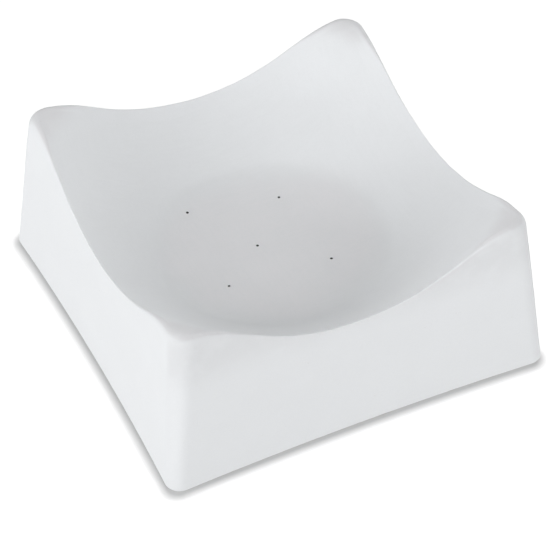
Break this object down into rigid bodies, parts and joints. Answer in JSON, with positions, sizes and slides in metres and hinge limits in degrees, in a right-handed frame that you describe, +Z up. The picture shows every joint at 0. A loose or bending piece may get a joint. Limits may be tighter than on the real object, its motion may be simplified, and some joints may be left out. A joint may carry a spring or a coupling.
{
  "type": "plaster slump mold",
  "caption": "Square plaster slump mold with a round dished forming face, raised rounded corners, sloping walls, small air vents and a hollow underside.",
  "frame": {"origin": "on the resting plane, under the middle of the square foot", "axes": "+Z up out of the forming face, front wall faces -Y, side walls face -X and +X"},
  "size_m": [0.2996, 0.2996, 0.1282],
  "materials": {
    "plaster": "matt cast plaster",
    "release_wash": "matt brushed wash"
  },
  "bodies": {
    "root": {"mold_body": "plaster", "release_coat": "release_wash"}
  },
  "joints": []
}
